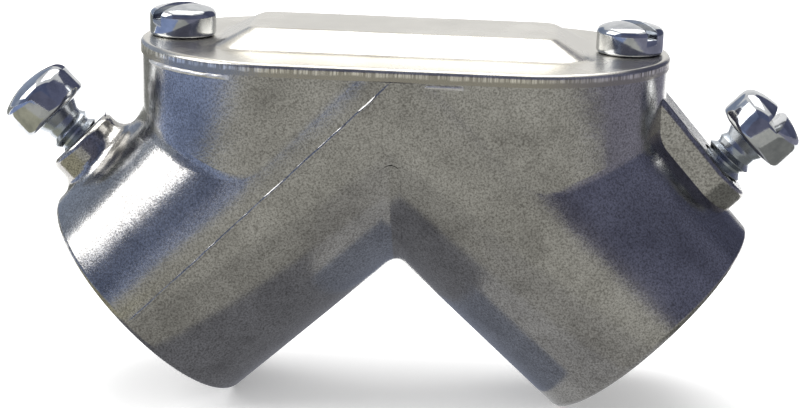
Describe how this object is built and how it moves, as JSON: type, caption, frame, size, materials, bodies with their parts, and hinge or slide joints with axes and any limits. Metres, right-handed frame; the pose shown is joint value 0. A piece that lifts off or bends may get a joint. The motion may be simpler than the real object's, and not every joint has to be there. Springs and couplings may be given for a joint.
{
  "type": "conduit body",
  "caption": "Right-angle conduit body for thin-wall tube: die-cast pull elbow with set-screw sockets and a screwed access cover.",
  "frame": {"origin": "where the two socket axes cross, on the cover seat of the casting", "axes": "+X along the cover, towards the socket with the ribbed screw boss; -Y the front; +Z out through the cover. The socket axes fall away from the origin at 45 degrees, towards +X and -X"},
  "size_m": [0.0691, 0.026, 0.0339],
  "materials": {
    "die_cast_zinc": null,
    "plated_sheet": "satin zinc plate",
    "plated_screw": "bright zinc plate"
  },
  "bodies": {
    "housing": {"elbow_body": "die_cast_zinc"},
    "cover": {"access_cover": "plated_sheet"},
    "left_cover_screw": {"cover_screw_left": "plated_screw"},
    "right_cover_screw": {"cover_screw_right": "plated_screw"},
    "left_set_screw": {"set_screw_left": "plated_screw"},
    "right_set_screw": {"set_screw_right": "plated_screw"}
  },
  "joints": [
    {"name": "cover_lift", "type": "slide", "parent": "housing", "child": "cover", "axis": [0, 0, 1], "range_m": [0, 0.03]},
    {"name": "left_cover_screw_slide", "type": "slide", "parent": "cover", "child": "left_cover_screw", "axis": [0, 0, 1], "range_m": [0, 0.006]},
    {"name": "right_cover_screw_slide", "type": "slide", "parent": "cover", "child": "right_cover_screw", "axis": [0, 0, 1], "range_m": [0, 0.006]},
    {"name": "left_set_screw_slide", "type": "slide", "parent": "housing", "child": "left_set_screw", "axis": [-0.7071, 0, 0.7071], "range_m": [-0.0026, 0.0043]},
    {"name": "right_set_screw_slide", "type": "slide", "parent": "housing", "child": "right_set_screw", "axis": [0.7071, 0, 0.7071], "range_m": [-0.0026, 0.0043]}
  ]
}
